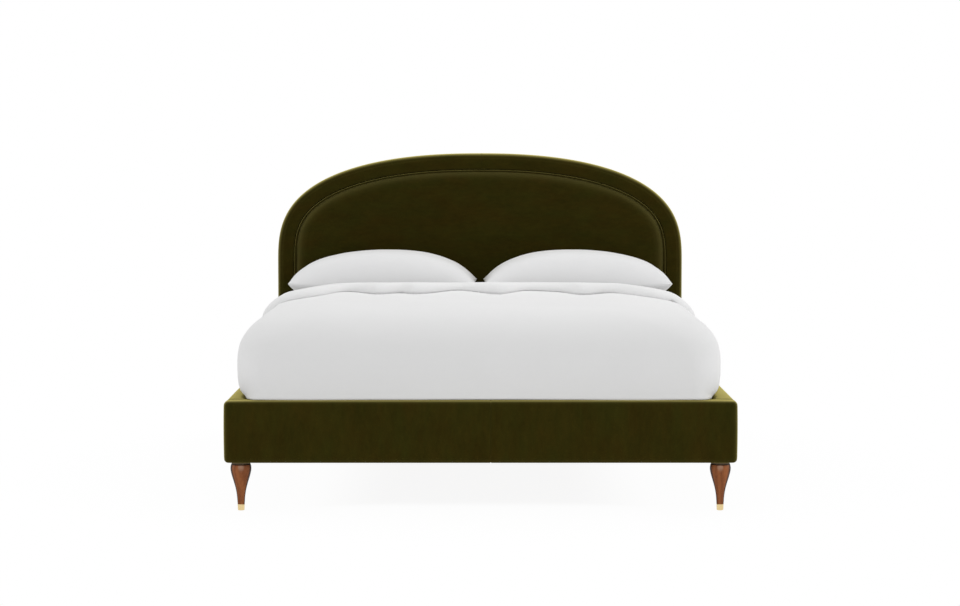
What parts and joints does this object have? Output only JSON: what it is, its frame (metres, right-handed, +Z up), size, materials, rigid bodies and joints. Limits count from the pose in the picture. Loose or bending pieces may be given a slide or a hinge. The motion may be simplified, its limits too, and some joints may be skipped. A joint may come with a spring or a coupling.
{
  "type": "upholstered bed",
  "caption": "Upholstered bed with an arched padded headboard, padded rails, turned legs and a slatted base, made up with mattress, duvet and pillows.",
  "frame": {"origin": "on the floor, under the middle of the bed", "axes": "+X across the bed to the right as seen from the foot, +Y from foot to head, +Z up"},
  "size_m": [1.67, 2.205, 1.161],
  "materials": {
    "velvet": "short-pile velvet, dark olive",
    "back_cloth": "plain woven dark cloth",
    "plywood": "sanded plywood",
    "pine": "planed softwood",
    "walnut": "satin lacquer",
    "brass": "satin",
    "bronzed_steel": "satin",
    "zinc_steel": "satin",
    "black_plastic": "matte",
    "webbing": "woven ribbon",
    "ticking": "knitted ticking",
    "white_cotton": "soft woven cotton"
  },
  "bodies": {
    "frame": {"headboard_border": "velvet", "headboard_panel": "velvet", "headboard_piping": "velvet", "headboard_back": "back_cloth", "headboard_board": "plywood", "headboard_ribs": "pine", "head_rail": "pine", "headboard_bolts": "zinc_steel", "foot_rail_core": "pine", "foot_rail_cover": "velvet", "side_rail_core_left": "pine", "side_rail_core_right": "pine", "side_rail_cover_left": "velvet", "side_rail_cover_right": "velvet", "leg_front_left": "walnut", "leg_front_right": "walnut", "leg_rear_left": "walnut", "leg_rear_right": "walnut", "ferrule_front_left": "brass", "ferrule_front_right": "brass", "ferrule_rear_left": "brass", "ferrule_rear_right": "brass", "leg_plates": "bronzed_steel", "hanger_bolts": "zinc_steel", "tee_nuts": "zinc_steel", "plate_screws": "zinc_steel", "corner_brackets": "zinc_steel", "bracket_bolts": "zinc_steel", "ledger_left": "pine", "ledger_right": "pine", "ledger_screws": "zinc_steel", "centre_beam": "pine", "beam_hangers": "zinc_steel", "hanger_screws": "zinc_steel", "centre_leg_front": "pine", "centre_leg_rear": "pine", "leg_inserts": "zinc_steel", "slat_01": "pine", "slat_02": "pine", "slat_03": "pine", "slat_04": "pine", "slat_05": "pine", "slat_06": "pine", "slat_07": "pine", "slat_08": "pine", "slat_09": "pine", "slat_10": "pine", "slat_11": "pine", "slat_12": "pine", "slat_straps": "webbing", "slat_screws": "zinc_steel"},
    "mattress": {"mattress": "ticking"},
    "duvet": {"duvet": "white_cotton"},
    "pillow_left": {"pillow_left": "white_cotton"},
    "pillow_right": {"pillow_right": "white_cotton"},
    "glide_pad_front": {"glide_pad_front": "black_plastic"},
    "glide_pad_rear": {"glide_pad_rear": "black_plastic"},
    "glide_stem_front": {"glide_stem_front": "zinc_steel"},
    "glide_stem_rear": {"glide_stem_rear": "zinc_steel"}
  },
  "joints": [
    {"name": "mattress_lift", "type": "slide", "parent": "frame", "child": "mattress", "axis": [0, 0, 1], "range_m": [0, 0.35]},
    {"name": "duvet_lift", "type": "slide", "parent": "mattress", "child": "duvet", "axis": [0, 0, 1], "range_m": [0, 0.35]},
    {"name": "pillow_left_lift", "type": "slide", "parent": "mattress", "child": "pillow_left", "axis": [0, 0, 1], "range_m": [0, 0.3]},
    {"name": "pillow_right_lift", "type": "slide", "parent": "mattress", "child": "pillow_right", "axis": [0, 0, 1], "range_m": [0, 0.3]},
    {"name": "glide_front_travel", "type": "slide", "parent": "frame", "child": "glide_pad_front", "axis": [0, 0, -1], "range_m": [0, 0.012]},
    {"name": "glide_front_turn", "type": "hinge", "parent": "glide_pad_front", "child": "glide_stem_front", "pos_m": [0, 0.1625, 0.02], "axis": [0, 0, -1], "range_deg": [0, 3456]},
    {"name": "glide_rear_travel", "type": "slide", "parent": "frame", "child": "glide_pad_rear", "axis": [0, 0, -1], "range_m": [0, 0.012]},
    {"name": "glide_rear_turn", "type": "hinge", "parent": "glide_pad_rear", "child": "glide_stem_rear", "pos_m": [0, 0.6625, 0.02], "axis": [0, 0, -1], "range_deg": [0, 3456]}
  ],
  "couplings": [
    {"joint": "glide_front_travel", "follows": "glide_front_turn", "m_per_rad": 0.00019894},
    {"joint": "glide_rear_travel", "follows": "glide_rear_turn", "m_per_rad": 0.00019894}
  ]
}
